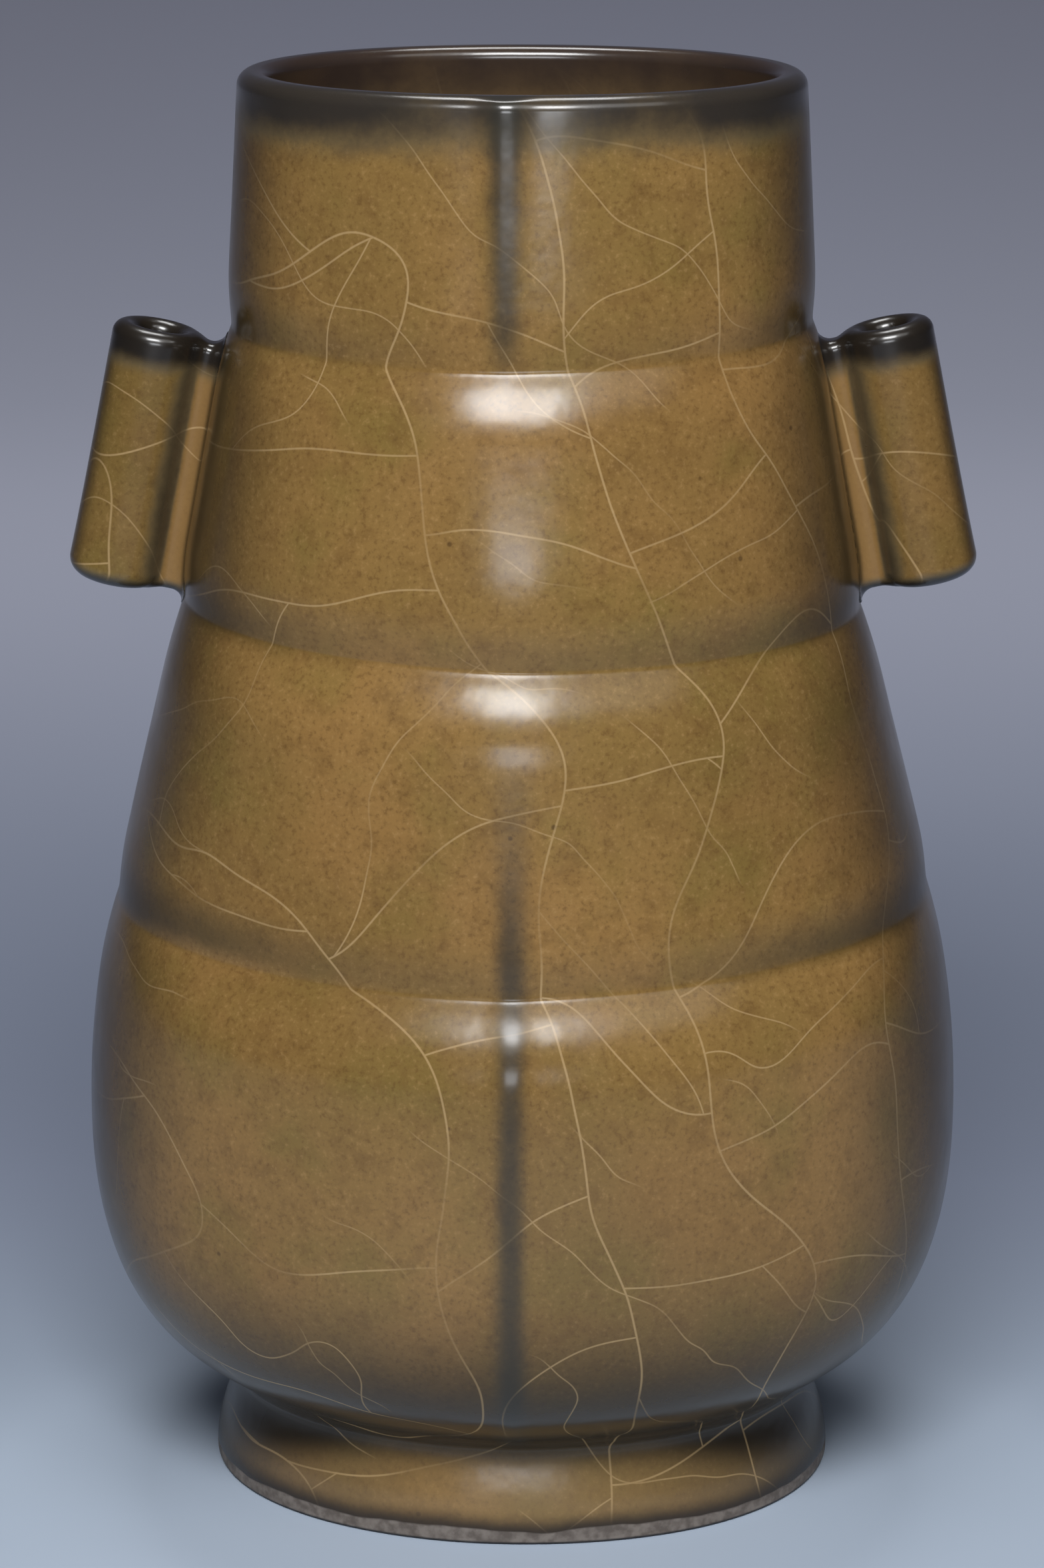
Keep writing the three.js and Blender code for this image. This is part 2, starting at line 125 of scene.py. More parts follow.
def soft_half(view, z):
    """The same line, averaged over nearby levels where the belly runs into the foot."""
    reach = np.clip(HEEL_SOFTNESS - np.abs(z - FOOT_TOP) / 2, 0, None)
    nearby = [smooth_half(view, z + reach * shift) for shift in np.linspace(-1, 1, 13)]
    return np.mean(nearby, axis=0)


# The bands, from the lowest to the highest: steps seen from the front and from the side.
BAND_STEPS = [(0.0006, 0.0034), (0.0006, 0.0034), (0.0006, 0.0020)]
CROWN_HEIGHTS = [0.0108, 0.0104, 0.0084]
CROWN_SOFTNESS = 0.03
COVE_DEPTH = 0.0006
COVE_HEIGHT = 0.0066
COVE_SOFTNESS = 0.14
SHOULDER_BULGE = (0.0, 0.0014)
BULGE_PEAK = 4 / 27


def swell(away, softness):
    """1 at a joint, falling to 0 at a distance of 1, with a rounded start."""
    rounded = np.sqrt(away**2 + softness**2) - softness
    return np.clip(1 - rounded, 0, None) ** 2


def shoulder_climb(z):
    """0 at the bottom of the shoulder and 1 at its top."""
    return np.clip((z - SHOULDER_JOINT) / (NECK_JOINT - SHOULDER_JOINT), 0, 1)


def set_back(view, z):
    """How far the outside stands back from the smooth line.

    A section starts set back from the crown below it and closes up to the line at its top.
    A shallow cove deepens the groove. The shoulder bulges past the line at front and back.
    """
    depth = np.zeros_like(z)
    tops = [*BANDS[1:], RIM]
    for joint, top, steps, crown_height in zip(BANDS, tops, BAND_STEPS, CROWN_HEIGHTS):
        crown = steps[view] * swell((joint - z) / crown_height, CROWN_SOFTNESS)
        closing = (steps[view] - COVE_DEPTH) * np.clip((top - z) / (top - joint), 0, 1)
        cove = COVE_DEPTH * swell((z - joint) / COVE_HEIGHT, COVE_SOFTNESS)
        depth += np.where(z < joint, crown, np.where(z < top, closing + cove, 0))
    climb = shoulder_climb(z)
    return depth - SHOULDER_BULGE[view] * climb * (1 - climb) ** 2 / BULGE_PEAK


# The wall at its main levels: thickness, height of the keel, lean to one side for each metre
# across, and dip at the front and the back.
WALL_LEVELS, WALL_THICKNESS, KEEL_HEIGHTS, TILTS, DIPS = zip(
    (FOOT_TOP, 0.0054, 0.0005, 0.0, 0.0),
    (WIDEST, 0.0052, 0.0009, 0.004, 0.0004),
    (WAIST_JOINT, 0.0050, 0.0012, 0.0150, 0.0018),
    (SHOULDER_JOINT, 0.0046, 0.0012, -0.011, 0.0009),
    (NECK_JOINT, 0.0041, 0.0002, 0.0105, 0.0011),
    (RIM, 0.0039, 0.0, 0.0, 0.0),
)
LIP_OUTER_RADIUS = 0.0017
LIP_INNER_RADIUS = 0.0017


def keel_height(z):
    """How far the ridges down the front and the back stand out. On the shoulder they end late."""
    climb = shoulder_climb(z)
    base, top = KEEL_HEIGHTS[3:5]
    ending = base + (top - base) * climb**2
    return np.where((climb > 0) & (climb < 1), ending, np.interp(z, WALL_LEVELS, KEEL_HEIGHTS))


def outer_half(view, z):
    above = np.clip(z - (RIM - LIP_OUTER_RADIUS), 0, LIP_OUTER_RADIUS)
    lip = LIP_OUTER_RADIUS - np.sqrt(LIP_OUTER_RADIUS**2 - above**2)
    return soft_half(view, z) - set_back(view, z) - lip


def inner_half(view, z):
    return smooth_half(view, z) - np.interp(z, WALL_LEVELS, WALL_THICKNESS)


def fade(z, start, end):
    """0 before start and 1 after end, with a soft step between."""
    t = np.clip((z - start) / (end - start), 0, 1)
    return t * t * (3 - 2 * t)


# The ribs down the front and the back: how proud they stand, how thin the glaze is on them,
# and how wide they are.
RIB_LEVELS, RIB_HEIGHTS, RIB_THINNESS, RIB_WIDTHS = zip(
    (FOOT_TOP, 0.0, 0.8, 0.0023),
    (FOOT_TOP + 0.004, 0.0004, 0.9, 0.0023),
    (WAIST_JOINT - 0.004, 0.0003, 0.8, 0.0021),
    (WAIST_JOINT, 0.0002, 0.75, 0.0021),
    (WAIST_JOINT + 0.004, 0.0002, 0.85, 0.0024),
    (WAIST_JOINT + 0.016, 0.0001, 0.55, 0.0031),
    (WAIST_JOINT + 0.028, 0.0, 0.3, 0.0034),
    (SHOULDER_JOINT, 0.0, 0.0, 0.0034),
    (NECK_JOINT - 0.003, 0.0, 0.0, 0.0024),
    (NECK_JOINT + 0.004, 0.0002, 0.75, 0.0024),
    (RIM - 0.004, 0.0005, 0.95, 0.0026),
    (RIM, 0.0007, 1.0, 0.0024),
)
RIB_END = 0.0005
NECK_RIB_OFFSET = -0.0012
OFFSET_START = NECK_JOINT - 0.01
NO_RIB_WIDTH = 0.001
LIP_THIN_OUTSIDE = (RIM - 0.0095, RIM - 0.0004)
LIP_THIN_INSIDE = (RIM - 0.012, RIM - 0.001)
WAVE_MARGIN = 0.003


def rows_at(half_x, half_y, z, **carried):
    """Rows of half-width, half-depth and level, with what the surface carries there, or 0."""
    none = np.zeros_like(z)
    rows = {name: none for name in ("keel", "rib", "rib_offset", "rib_thin", "tilt", "dip",
                                    "calm", "thin", "inside")}
    rows["rib_width"] = NO_RIB_WIDTH
    rows.update(carried)
    rows = {name: none + value for name, value in rows.items()}
    return {"place": np.stack([half_x + none, half_y + none, z], 1), **rows}


def outer_rows(z):
    """Rows of the outside. The hand's waves calm down where the webs of the lugs join."""
    below, above = WEB_LOW.z - WAVE_MARGIN, WEB_HIGH.z + WAVE_MARGIN
    return rows_at(
        outer_half(0, z), outer_half(1, z), z,
        keel=keel_height(z),
        rib=np.interp(z, RIB_LEVELS, RIB_HEIGHTS) * fade(-z, -RIM, -RIM + RIB_END),
        rib_width=np.interp(z, RIB_LEVELS, RIB_WIDTHS),
        rib_offset=NECK_RIB_OFFSET * fade(z, OFFSET_START, NECK_JOINT),
        rib_thin=np.interp(z, RIB_LEVELS, RIB_THINNESS),
        tilt=np.interp(z, WALL_LEVELS, TILTS),
        dip=np.interp(z, WALL_LEVELS, DIPS),
        calm=fade(z, below, WEB_LOW.z) * fade(-z, -above, -WEB_HIGH.z),
        thin=fade(z, *LIP_THIN_OUTSIDE),
    )


def inner_rows(z, back=0.0):
    """Rows of the inside, set back from the bore where the lip rounds over."""
    return rows_at(
        inner_half(0, z) + back, inner_half(1, z) + back, z,
        tilt=np.interp(z, WALL_LEVELS, TILTS), dip=np.interp(z, WALL_LEVELS, DIPS),
        thin=fade(z, *LIP_THIN_INSIDE), inside=1.0,
    )


def joined_rows(*parts):
    """One closed profile from stretches of rows: the first row is repeated at the end."""
    rows = {key: np.concatenate([part[key] for part in parts]) for key in parts[0]}
    return {key: np.concatenate([value, value[:1]]) for key, value in rows.items()}


def levels(*stops):
    """Levels through stops of (level, spacing after it), closer where the form turns."""
    found = []
    for (low, step), (high, _) in zip(stops, stops[1:]):
        count = max(1, round((high - low) / step))
        found.extend(np.linspace(low, high, count, endpoint=False))
    return np.array(found + [stops[-1][0]])


class Nodes:
    """Adds nodes to a tree. Every node comes from add(), and sums are written on Terms."""

    def __init__(self, tree):
        self.tree = tree

    def add(self, kind, inputs=None, output=0, **settings):
        node = self.tree.nodes.new(kind)
        for name, value in settings.items():
            setattr(node, name, value)
        for key, value in (inputs or {}).items():
            if isinstance(value, Term):
                self.tree.links.new(value.socket, node.inputs[key])
            else:
                node.inputs[key].default_value = value
        return Term(self, node.outputs[output]) if node.outputs else node

    def math(self, operation, *values):
        return self.add("ShaderNodeMath", dict(enumerate(values)), operation=operation)

    def smooth(self, value, start, end):
        """0 before start and 1 after end."""
        return self.add(
            "ShaderNodeMapRange",
            {"Value": value, "From Min": start, "From Max": end, "To Min": 0.0, "To Max": 1.0},
            interpolation_type="SMOOTHSTEP",
        )

    def vector(self, operation, *values):
        return self.add("ShaderNodeVectorMath", dict(enumerate(values)), operation=operation)

    def split(self, vector):
        """The three numbers of a vector."""
        node = self.add("ShaderNodeSeparateXYZ", {0: vector}).socket.node
        return [Term(self, socket) for socket in node.outputs]

    def blend(self, factor, first, second):
        """A mix of two colours."""
        return self.add("ShaderNodeMix", {0: factor, 6: first, 7: second}, output=2,
                        data_type="RGBA")


class Term:
    """The output of a node, which can be used in sums."""

    def __init__(self, nodes, socket):
        self.nodes = nodes
        self.socket = socket

    def __add__(self, other):
        return self.nodes.math("ADD", self, other)

    def __radd__(self, other):
        return self.nodes.math("ADD", other, self)

    def __sub__(self, other):
        return self.nodes.math("SUBTRACT", self, other)

    def __rsub__(self, other):
        return self.nodes.math("SUBTRACT", other, self)

    def __mul__(self, other):
        return self.nodes.math("MULTIPLY", self, other)

    def __rmul__(self, other):
        return self.nodes.math("MULTIPLY", other, self)

    def __truediv__(self, other):
        return self.nodes.math("DIVIDE", self, other)

    def __rtruediv__(self, other):
        return self.nodes.math("DIVIDE", other, self)


KEEL_SPREAD = 0.012
KEEL_ROUNDING = 0.003
SQUARENESS = 0.05
COLUMNS = 384
CROWDING = 0.3
WAVE_SCALE = 36.0
WAVE_DEPTH = 0.008
WELD = 1e-7
CALM_SIDES = (0.5, 0.2)


def pressed_ring_tree():
    """A node tree that sweeps a line of rows round the vase and presses each row to its oval."""
    tree = bpy.data.node_groups.new("pressed_ring", "GeometryNodeTree")
    faces = tree.interface
    faces.new_socket("Rows", in_out="INPUT", socket_type="NodeSocketGeometry")
    faces.new_socket("Columns", in_out="INPUT", socket_type="NodeSocketInt")
    for name in ("Crowding", "Squareness", "Keel Spread", "Keel Rounding",
                 "Wave Scale", "Wave Depth"):
        faces.new_socket(name, in_out="INPUT", socket_type="NodeSocketFloat")
    faces.new_socket("Glaze", in_out="INPUT", socket_type="NodeSocketMaterial")
    faces.new_socket("Ring", in_out="OUTPUT", socket_type="NodeSocketGeometry")
    n = Nodes(tree)
    entry = n.add("NodeGroupInput").socket.node
    given = {s.name: Term(n, s) for s in entry.outputs if s.name}
    rows = given["Rows"]
    row_count = n.add("GeometryNodeAttributeDomainSize", {"Geometry": rows})
    grid = n.add("GeometryNodeMeshGrid", {
        "Size X": 1.0, "Size Y": 1.0, "Vertices X": given["Columns"] + 1.0,
        "Vertices Y": row_count,
    })
    along, across, _ = n.split(n.add("GeometryNodeInputPosition"))
    row = n.math("ROUND", (across + 0.5) * (row_count - 1.0))

    def in_row(value, kind="FLOAT"):
        """A value of the row that a point of the grid belongs to."""
        return n.add("GeometryNodeSampleIndex", {"Geometry": rows, "Value": value, "Index": row},
                     data_type=kind)

    def carried(name):
        return in_row(n.add("GeometryNodeInputNamedAttribute", {"Name": name}, data_type="FLOAT"))

    place = in_row(n.add("GeometryNodeInputPosition"), "FLOAT_VECTOR")
    half_x, half_y, level = n.split(place)
    # Columns crowd together at the front and the back, where the ribs and the keel are.
    turn = (along + 0.5) * math.tau
    angle = turn - given["Crowding"] * n.math("SINE", turn * 2.0)
    ahead = n.math("COSINE", angle)
    x = half_x * n.math("SINE", angle)
    rounding = given["Keel Rounding"]
    reach = n.math("SQRT", x * x + rounding * rounding) - rounding
    share = n.math("EXPONENT", reach / given["Keel Spread"] * -1.0)
    front = n.math("GREATER_THAN", ahead, 0.0)
    aside = (x - carried("rib_offset") * front) / carried("rib_width")
    bump = n.math("EXPONENT", aside * aside * -1.0)
    facing = n.math("SIGN", ahead)
    squarer = 1.0 + (1.0 - ahead * ahead) * given["Squareness"]
    y = ahead * squarer * (half_y + carried("keel") * share) + facing * bump * carried("rib")
    # The hand leaves the wall a little uneven, and the joints a little out of level: they dip
    # at the front and the back and lean to one side.
    spot = n.add("ShaderNodeCombineXYZ", {0: x, 1: y * -1.0, 2: level})
    wave = n.add("ShaderNodeTexNoise", {
        "Vector": spot, "Scale": given["Wave Scale"], "Detail": 1.0,
    })
    beside_lug = carried("calm") * n.smooth(n.math("ABSOLUTE", ahead), *CALM_SIDES)
    drawn_in = 1.0 - n.math("ABSOLUTE", wave) * given["Wave Depth"] * (1.0 - beside_lug)
    point = n.add("ShaderNodeCombineXYZ", {
        0: x * drawn_in, 1: y * drawn_in * -1.0,
        2: level + x * carried("tilt") - ahead * ahead * carried("dip"),
    })
    stored = {"thin": carried("thin"), "inside": carried("inside"),
              "rib": bump * carried("rib_thin")}
    ring = grid
    for name, value in stored.items():
        ring = n.add("GeometryNodeStoreNamedAttribute",
                     {"Geometry": ring, "Name": name, "Value": value}, data_type="FLOAT")
    ring = n.add("GeometryNodeSetPosition", {"Geometry": ring, "Position": point})
    ring = n.add("GeometryNodeMergeByDistance", {"Geometry": ring, "Distance": WELD})
    ring = n.add("GeometryNodeRealizeInstances", {"Geometry": ring})
    ring = n.add("GeometryNodeSetMaterial", {"Geometry": ring, "Material": given["Glaze"]})
    n.add("NodeGroupOutput", {"Ring": ring})
    return tree


PRESSED_RING = pressed_ring_tree()


def set_inputs(modifier, values):
    """Sets a modifier's inputs, which go by the identifiers of their sockets."""
    for item in modifier.node_group.interface.items_tree:
        if item.item_type == "SOCKET" and item.in_out == "INPUT" and item.name in values:
            modifier[item.identifier] = values[item.name]


def pressed_ring(name, rows, material):
    """A closed ring of the vase as a plain mesh."""
    line = bpy.data.meshes.new(name + "_rows")
    line.from_pydata([tuple(p) for p in rows["place"]], [], [])
    for key, values in rows.items():
        if key != "place":
            line.attributes.new(key, "FLOAT", "POINT").data.foreach_set("value", values)
    maker = bpy.data.objects.new(name + "_maker", line)
    bpy.context.scene.collection.objects.link(maker)
    modifier = maker.modifiers.new("ring", "NODES")
    modifier.node_group = PRESSED_RING
    set_inputs(modifier, {
        "Columns": COLUMNS, "Crowding": CROWDING, "Squareness": SQUARENESS,
        "Keel Spread": KEEL_SPREAD, "Keel Rounding": KEEL_ROUNDING, "Wave Scale": WAVE_SCALE,
        "Wave Depth": WAVE_DEPTH, "Glaze": material,
    })
    maker.update_tag()
    graph = bpy.context.evaluated_depsgraph_get()
    mesh = bpy.data.meshes.new_from_object(maker.evaluated_get(graph), depsgraph=graph)
    bpy.data.objects.remove(maker)
    mesh.name = name
    piece = bpy.data.objects.new(name, mesh)
    bpy.context.scene.collection.objects.link(piece)
    return piece


def srgb(red, green, blue):
    """The linear colour that a shader takes, for one given as a screen shows it, 0 to 255."""
    part = [v / 255 for v in (red, green, blue)]
    linear = [v / 12.92 if v <= 0.04045 else ((v + 0.055) / 1.055) ** 2.4 for v in part]
    return (*linear, 1.0)


TONES = {
    "honey": srgb(147, 112, 64),
    "ochre": srgb(133, 105, 58),
    "moss": srgb(116, 101, 48),
    "amber": srgb(104, 76, 40),
    "mottle": srgb(110, 80, 42),
    "dark_grain": srgb(96, 68, 36),
    "pale_grain": srgb(182, 146, 96),
    "pit": srgb(62, 40, 22),
    # painted shade of the lower belly
    "belly": srgb(88, 70, 42),
    # thick glaze and painted shade under the belly
    "under_belly_glaze_and_shade": srgb(43, 37, 29),
    # painted shade where the wall turns away from the light
    "turned_side_shade": srgb(44, 36, 25),
    "pool": srgb(70, 56, 26),
    "crackle": srgb(192, 162, 116),
    "beside_web": srgb(140, 107, 66),
    "lug": srgb(84, 68, 36),
    "lug_web": srgb(146, 112, 70),
    "thin": srgb(92, 82, 62),
    "worn": srgb(46, 42, 39),
    "worn_lug": srgb(24, 21, 20),
    "rib": srgb(50, 48, 42),
    # painted shade inside the vase
    "inside": srgb(132, 106, 80),
    "inner_lip": srgb(56, 41, 36),
    "foot": srgb(140, 117, 82),
    # dark glaze and painted shade at the foot's narrow ends
    "foot_side_glaze_and_shade": srgb(58, 50, 40),
    "glaze_edge": srgb(40, 34, 30),
    "pale_clay": srgb(124, 115, 107),
    "dark_clay": srgb(92, 83, 76),
    # painted contact shadow
    "contact_shadow": srgb(20, 18, 18),
}

# Where the masks of the tones start and where they are full: heights, or distances to either
# side of the middle of the front.
LIFTED_MIDDLE = (0.045, 0.0)
SHADED_BELLY = (0.080, 0.045)
UNDER_BELLY = (0.042, 0.019)
UNDER_BELLY_END = (0.0088, 0.0134)
LOWERED_SIDES = (0.015, 0.036)
POOL_SIDES = (0.014, 0.042)
FOOT_SHADE_SIDES = (0.006, 0.036)
THIN_SIDES = (0.010, 0.030)
INSIDE_SHADE = (RIM - 0.003, RIM - 0.012)
INNER_LIP = (RIM - 0.015, RIM - 0.002)
GLOSSY_LIP = (RIM - 0.006, RIM - 0.002)
CROWDED_CRACKS = (RIM - 0.036, RIM - 0.008)
CONTACT_SHADOW_HEIGHTS = (0.0006, 0.0002)

# The same from a joint, from the ends and the middle of a web, and from the foot's bare edge.
POOL_ABOVE = (0.0070, 0.0012)
POOL_BELOW = (-0.0018, 0.0008)
WEB_ENDS = (-0.001, 0.003)
WEB_POOL_AND_SHADE = (0.0125, 0.0060)
WEB_STRIP = (0.0058, 0.0040)
CLAY_LINE = (0.0002, -0.0001)
GLAZE_EDGE = (0.0028, 0.0001)

LIFT = 0.0013
LOWERING = 0.005
POOLED_IN_MIDDLE = (0.2, 0.14, 0.08)
CRACK_STEP = 0.0004

# Sets of cracks, from the oldest: the way across them, spacing, seed, width and length of a bend.
CRACK_SETS = [
    ((0.9, 0.62, 0.22), 0.021, 3.1, 0.00020, 0.045),
    ((-0.30, 0.12, 1.0), 0.024, 8.4, 0.00018, 0.045),
    ((0.24, -0.2, 1.0), 0.026, 15.2, 0.00018, 0.045),
    ((0.8, -0.5, -0.75), 0.023, 21.7, 0.00015, 0.03),
    ((0.75, 0.4, 0.7), 0.026, 34.9, 0.00015, 0.03),
    ((0.7, 0.3, 0.9), 0.013, 47.3, 0.00014, 0.02),
]


class Glaze(Nodes):
    """The nodes of a glaze. Its tones are laid over each other where their masks are 1.

    A mask's span runs from where it starts to where it is full, and may run downwards.
    """

    def __init__(self, tree, lug):
        super().__init__(tree)
        self.lug = lug
        self.colour = TONES["honey"]
        self.place = self.add("ShaderNodeTexCoord", output=3)
        across, self.depth, self.height = self.split(self.place)
        self.aside = self.math("ABSOLUTE", across)
        self.facing = self.add("ShaderNodeNewGeometry", output=1)
        self.mottle = self.noise(330.0, 3.0, 0.6)
        self.wander = self.noise(55.0) - 0.5
        lift = self.smooth(self.aside, *LIFTED_MIDDLE)
        lift = lift * self.smooth(self.height, FOOT_TOP, WAIST_JOINT)
        self.level = self.height + self.wander * 0.003 + lift * LIFT

    def noise(self, scale, detail=2.0, rough=0.5):
        return self.add("ShaderNodeTexNoise", {
            "Vector": self.place, "Scale": scale, "Detail": detail, "Roughness": rough,
        })

    def attribute(self, label):
        return self.add("ShaderNodeAttribute", output=2, attribute_name=label)

    def lay(self, tone, mask):
        self.colour = self.blend(mask, self.colour, TONES[tone])

    def lay_clouds(self):
        """Honey and olive clouds, specks, small dark pits, and painted shade that darkens the belly
        towards the bottom.
        """
        self.lay("ochre", self.smooth(self.noise(30.0), 0.36, 0.66))
        self.lay("moss", self.smooth(self.noise(75.0, 3.0), 0.46, 0.76) * 0.55)
        self.lay("amber", self.smooth(self.noise(24.0, 1.0), 0.42, 0.66) * 0.22)
        self.lay("mottle", self.smooth(self.mottle, 0.44, 0.74) * 0.46)
        grain = self.noise(1500.0, 2.0, 0.7)
        self.lay("dark_grain", self.smooth(grain, 0.5, 0.74) * 0.5)
        self.lay("pale_grain", self.smooth(grain, 0.46, 0.25) * 0.26)
        pit = self.add("ShaderNodeTexVoronoi", {"Vector": self.place, "Scale": 90.0})
        self.lay("pit", self.smooth(pit, 0.04, 0.015) * 0.6)
        # Painted shade: the belly darkens towards the bottom.
        self.lay("belly", self.smooth(self.height, *SHADED_BELLY) * 0.16)

    def by_web(self, far, near):
        """0 beyond the far distance from the middle of a web, and 1 within the near one."""
        away = self.math("ABSOLUTE", self.depth) + self.wander * 0.002
        out, into = WEB_ENDS
        along = self.smooth(self.height, WEB_LOW.z + out, WEB_LOW.z + into)
        along = along * self.smooth(self.height, WEB_HIGH.z - out, WEB_HIGH.z - into)
        return self.smooth(away, far, near) * along

    def lay_pools(self):
        """Glaze pools in the grooves of the bands, more at the sides. Beside the webs the dark tone
        is pooled glaze and painted shade.
        """
        if self.lug:
            self.lay("lug", 0.24)
            self.lay("lug_web", self.attribute("bloom") * 0.6)
            self.lay("pool", self.attribute("pool") * 0.5)
            return
        spread = self.smooth(self.aside, *POOL_SIDES) * 0.55
        pooled = 0.0
        for joint, in_middle in zip(BANDS, POOLED_IN_MIDDLE):
            above = self.smooth(self.level, *[joint + end for end in POOL_ABOVE])
            below = self.smooth(self.level, *[joint + end for end in POOL_BELOW])
            pooled = self.math("MAXIMUM", above * below * (spread + in_middle), pooled)
        # Beside the webs: pooled glaze and painted shade.
        self.lay("pool", self.math("MAXIMUM", pooled, self.by_web(*WEB_POOL_AND_SHADE) * 0.4))

    def lay_under_belly(self):
        """Dark under the belly, down to the foot's own colour: thick glaze and painted shade."""
        lowered = self.height + self.smooth(self.aside, *LOWERED_SIDES) * LOWERING
        under = self.smooth(self.level, *UNDER_BELLY) * self.smooth(lowered, *UNDER_BELLY_END)
        # Thick glaze and painted shade under the belly.
        self.lay("under_belly_glaze_and_shade", under * 0.92)

    def crack(self, nearby, direction, spacing, seed, width, bend):
        """Lines of even width at about this spacing, and the stripe between lines for each spot.

        Nearby is the spot and its two neighbours, from which the lines' own width is found.
        """
        length = math.hypot(*direction)
        climbs = []
        for spot in nearby:
            swirl = self.add("ShaderNodeTexNoise", {
                "Vector": self.vector("ADD", spot, (seed, seed * 1.7, seed * 0.6)),
                "Scale": 1 / bend, "Detail": 1.5, "Roughness": 0.32,
            })
            ramp = self.add("ShaderNodeVectorMath", {
                0: spot, 1: tuple(part / length / spacing for part in direction),
            }, output=1, operation="DOT_PRODUCT")
            climbs.append(ramp + swirl * (bend / spacing) + (seed + 20))
        here, beside_it, above_it = climbs
        rise_x, rise_y = beside_it - here, above_it - here
        rise = self.math("SQRT", rise_x * rise_x + rise_y * rise_y) / CRACK_STEP
        distance = self.math("PINGPONG", here, 0.5) / self.math("MAXIMUM", rise, 1.0)
        return (self.smooth(distance, width, width * 0.25),
                self.math("FLOORED_MODULO", self.math("FLOOR", here), 2.0))

    def lay_crackle(self):
        """Crackle. The cracks of a set run side by side, bent by a soft noise.

        Younger sets are drawn in every other stripe of an older one, so that their cracks end
        on older cracks.
        """
        level_way = self.vector("NORMALIZE", self.vector("CROSS_PRODUCT", self.facing, (0, 0, 1)))
        rising_way = self.vector("CROSS_PRODUCT", self.facing, level_way)
        nearby = [self.place] + [
            self.vector("MULTIPLY_ADD", way, (CRACK_STEP,) * 3, self.place)
            for way in (level_way, rising_way)
        ]
        cracks = [self.crack(nearby, *sizes) for sizes in CRACK_SETS]
        (first, odd), (second, over), (third, under), (fourth, _), (fifth, _), (sixth, _) = cracks
        even = 1.0 - odd
        crackle = self.math("MAXIMUM", first, self.math("MAXIMUM", second * odd, third * even))
        younger = fourth * odd * over + fifth * even * under
        crowded = 0.14 if self.lug else self.smooth(self.height, *CROWDED_CRACKS) * 0.12
        youngest = sixth * self.smooth(self.noise(34.0, 1.0) + crowded, 0.5, 0.56)
        crackle = self.math("MAXIMUM", crackle, self.math("MAXIMUM", younger, youngest * 0.8))
        crackle = crackle * (self.smooth(self.noise(60.0, 1.0), 0.3, 0.6) * 0.7 + 0.3)
        self.lay("crackle", crackle * 0.55)

    def lay_turned_side_shade(self):
        """Painted shade darkens the glaze round the narrow ends of the oval, where the wall turns
        away from the light, but not right beside the webs.
        """
        sideways = self.math("ABSOLUTE", self.split(self.facing)[0])
        # Painted shade on the sides that turn away from the light.
        self.lay("turned_side_shade", self.smooth(sideways + self.wander * 0.12, 0.6, 0.98) * 0.78)
        if not self.lug:
            self.lay("beside_web", self.by_web(*WEB_STRIP) * 0.75)

    def lay_thin(self):
        """Thin glaze on the lip and the ribs shows the dark body through, and painted shade darkens
        the inside a little further down. Returns its mask.
        """
        strength = self.smooth(self.aside, *THIN_SIDES) * 0.35 + 0.72 + self.wander * 0.9
        reach = self.attribute("thin") * strength
        streak = (self.mottle - 0.5) * 0.3
        self.lay("thin", self.smooth(reach + streak, 0.0, 0.5) * 0.7)
        worn = self.smooth(reach + streak, 0.25, 0.95)
        self.lay("worn_lug" if self.lug else "worn", worn * 0.94)
        if not self.lug:
            dark_rib = self.smooth(self.attribute("rib") + streak * 0.7, 0.1, 0.95)
            self.lay("rib", dark_rib * 0.85)
            inner = self.attribute("inside")
            # Painted shade: the inside a little darker further down.
            self.lay("inside", inner * self.smooth(self.height, *INSIDE_SHADE) * 0.22)
            self.lay("inner_lip", inner * self.smooth(self.height, *INNER_LIP) * 0.55)
        return worn

    def lay_bare_edge(self, level):
        """The bare clay that the vase stands on, under a dark edge of glaze, with a painted contact
        shadow along its very bottom. Returns its mask.
        """
        line = self.height + self.wander * 0.0018 + (self.noise(240.0, 1.0) - 0.5) * 0.0006
        bare = self.smooth(line, *[level + end for end in CLAY_LINE])
        self.lay("glaze_edge", self.smooth(line, *[level + end for end in GLAZE_EDGE]) * 0.92)
        grog = self.smooth(self.noise(900.0, 3.0), 0.3, 0.7)
        clay = self.blend(grog, TONES["pale_clay"], TONES["dark_clay"])
        self.colour = self.blend(bare, self.colour, clay)
        # Painted contact shadow along the very bottom of the foot.
        self.lay("contact_shadow", self.smooth(self.height, *CONTACT_SHADOW_HEIGHTS))
        return bare


